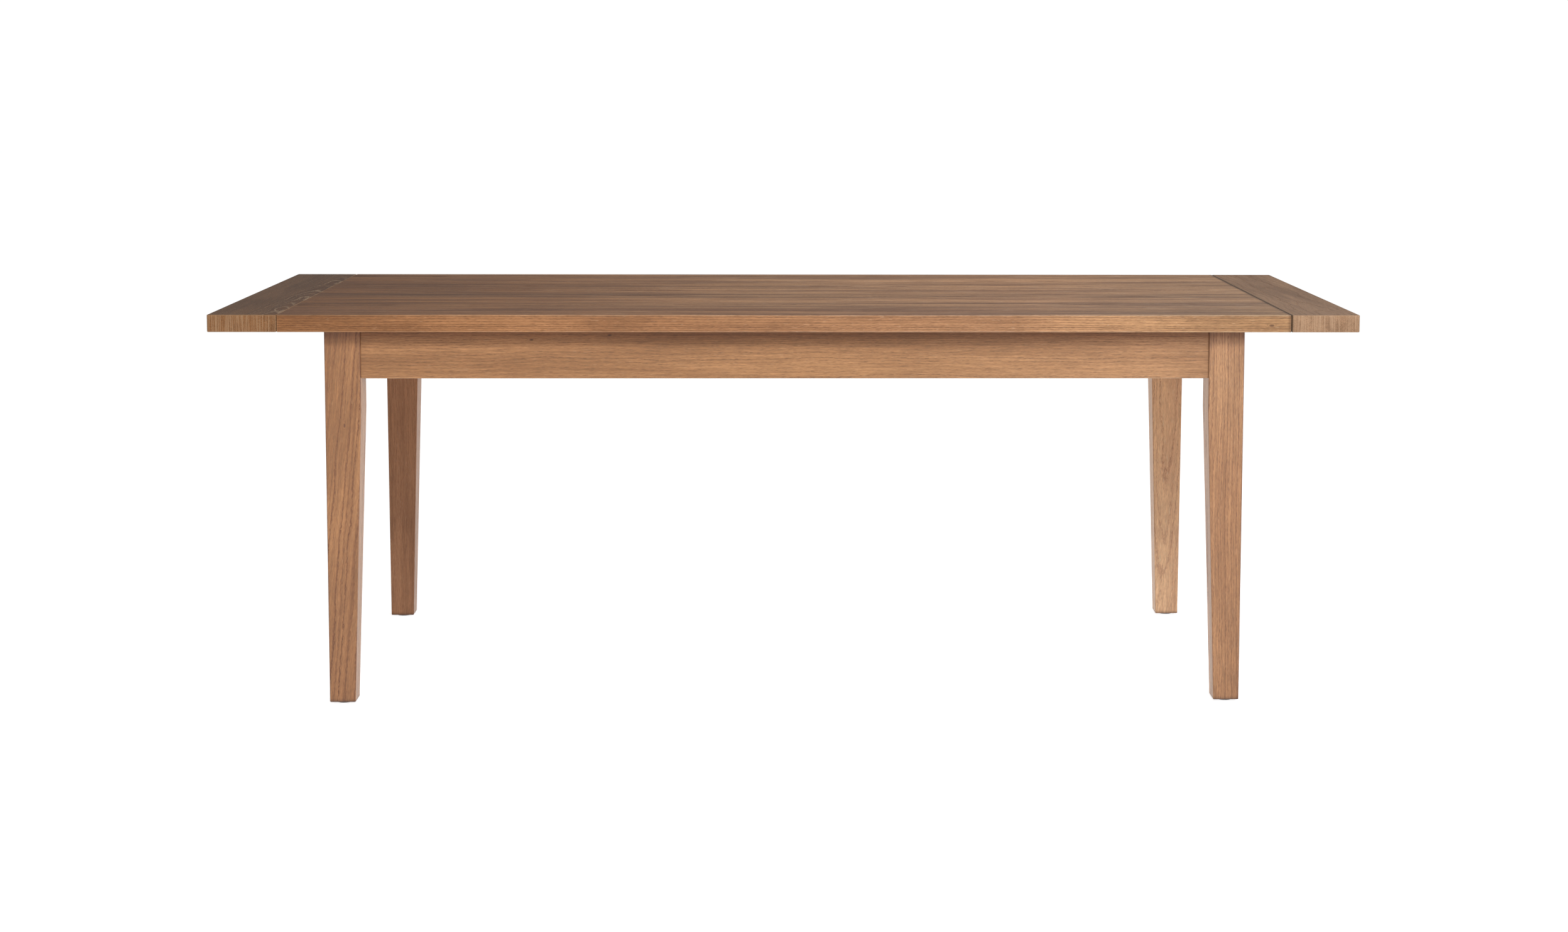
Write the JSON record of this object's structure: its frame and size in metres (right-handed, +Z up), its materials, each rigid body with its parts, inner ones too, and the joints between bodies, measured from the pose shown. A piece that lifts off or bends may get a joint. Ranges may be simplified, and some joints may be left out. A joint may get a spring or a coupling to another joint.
{
  "type": "extendable dining table",
  "caption": "Rectangular oak dining table with square tapered legs and end boards that pull out on steel runners, so that stored leaves can be dropped in.",
  "frame": {"origin": "on the floor under the middle of the table top", "axes": "+X along the table to the right seen from the front, -Y to the front, +Z up"},
  "size_m": [2.2, 0.96, 0.765],
  "materials": {
    "top_oak": "satin oiled oak, long grain",
    "end_oak": "satin oiled oak, grain across the table, end grain on its short faces",
    "leg_oak": "satin oiled oak, upright grain",
    "apron_oak": "satin oiled oak, long grain",
    "rail_beech": "plain sanded hardwood",
    "dowel_beech": "plain sanded hardwood",
    "black_steel": "black powder coat",
    "zinc_steel": "zinc plated",
    "black_nylon": "matt moulded nylon"
  },
  "bodies": {
    "frame": {"leg_front_left": "leg_oak", "leg_front_right": "leg_oak", "leg_back_left": "leg_oak", "leg_back_right": "leg_oak", "foot_glide_front_left": "black_nylon", "foot_glide_front_right": "black_nylon", "foot_glide_back_left": "black_nylon", "foot_glide_back_right": "black_nylon", "corner_brace_front_left": "rail_beech", "corner_brace_front_right": "rail_beech", "corner_brace_back_left": "rail_beech", "corner_brace_back_right": "rail_beech", "leg_bolt_front_left": "zinc_steel", "leg_bolt_front_right": "zinc_steel", "leg_bolt_back_left": "zinc_steel", "leg_bolt_back_right": "zinc_steel", "apron_front": "apron_oak", "apron_back": "apron_oak", "apron_left": "apron_oak", "apron_right": "apron_oak", "slide_rail_front": "rail_beech", "slide_rail_back": "rail_beech", "top_button_front_left": "rail_beech", "top_button_front_middle": "rail_beech", "top_button_front_right": "rail_beech", "top_button_back_left": "rail_beech", "top_button_back_middle": "rail_beech", "top_button_back_right": "rail_beech", "top_plank_1": "top_oak", "top_plank_2": "top_oak", "top_plank_3": "top_oak", "top_plank_4": "top_oak", "top_plank_5": "top_oak", "top_plank_6": "top_oak", "top_plank_7": "top_oak", "top_plank_8": "top_oak", "top_dowel_left_front": "dowel_beech", "top_dowel_left_back": "dowel_beech", "top_dowel_right_front": "dowel_beech", "top_dowel_right_back": "dowel_beech"},
    "end_left": {"end_board_left": "end_oak", "runner_left_front": "black_steel", "runner_left_back": "black_steel", "runner_cap_left_front": "black_nylon", "runner_cap_left_back": "black_nylon", "stop_pin_left_front": "zinc_steel", "stop_pin_left_back": "zinc_steel", "end_dowel_left_front": "dowel_beech", "end_dowel_left_back": "dowel_beech"},
    "end_right": {"end_board_right": "end_oak", "runner_right_front": "black_steel", "runner_right_back": "black_steel", "runner_cap_right_front": "black_nylon", "runner_cap_right_back": "black_nylon", "stop_pin_right_front": "zinc_steel", "stop_pin_right_back": "zinc_steel", "end_dowel_right_front": "dowel_beech", "end_dowel_right_back": "dowel_beech"},
    "leaf_upper": {"leaf_upper": "top_oak"},
    "leaf_lower": {"leaf_lower": "top_oak"}
  },
  "joints": [
    {"name": "end_left_pull", "type": "slide", "parent": "frame", "child": "end_left", "axis": [-1, 0, 0], "range_m": [0, 0.42]},
    {"name": "end_right_pull", "type": "slide", "parent": "frame", "child": "end_right", "axis": [1, 0, 0], "range_m": [0, 0.42]},
    {"name": "leaf_upper_draw", "type": "slide", "parent": "frame", "child": "leaf_upper", "axis": [-1, 0, 0], "range_m": [0, 0.6]},
    {"name": "leaf_lower_draw", "type": "slide", "parent": "frame", "child": "leaf_lower", "axis": [1, 0, 0], "range_m": [0, 0.6]}
  ]
}
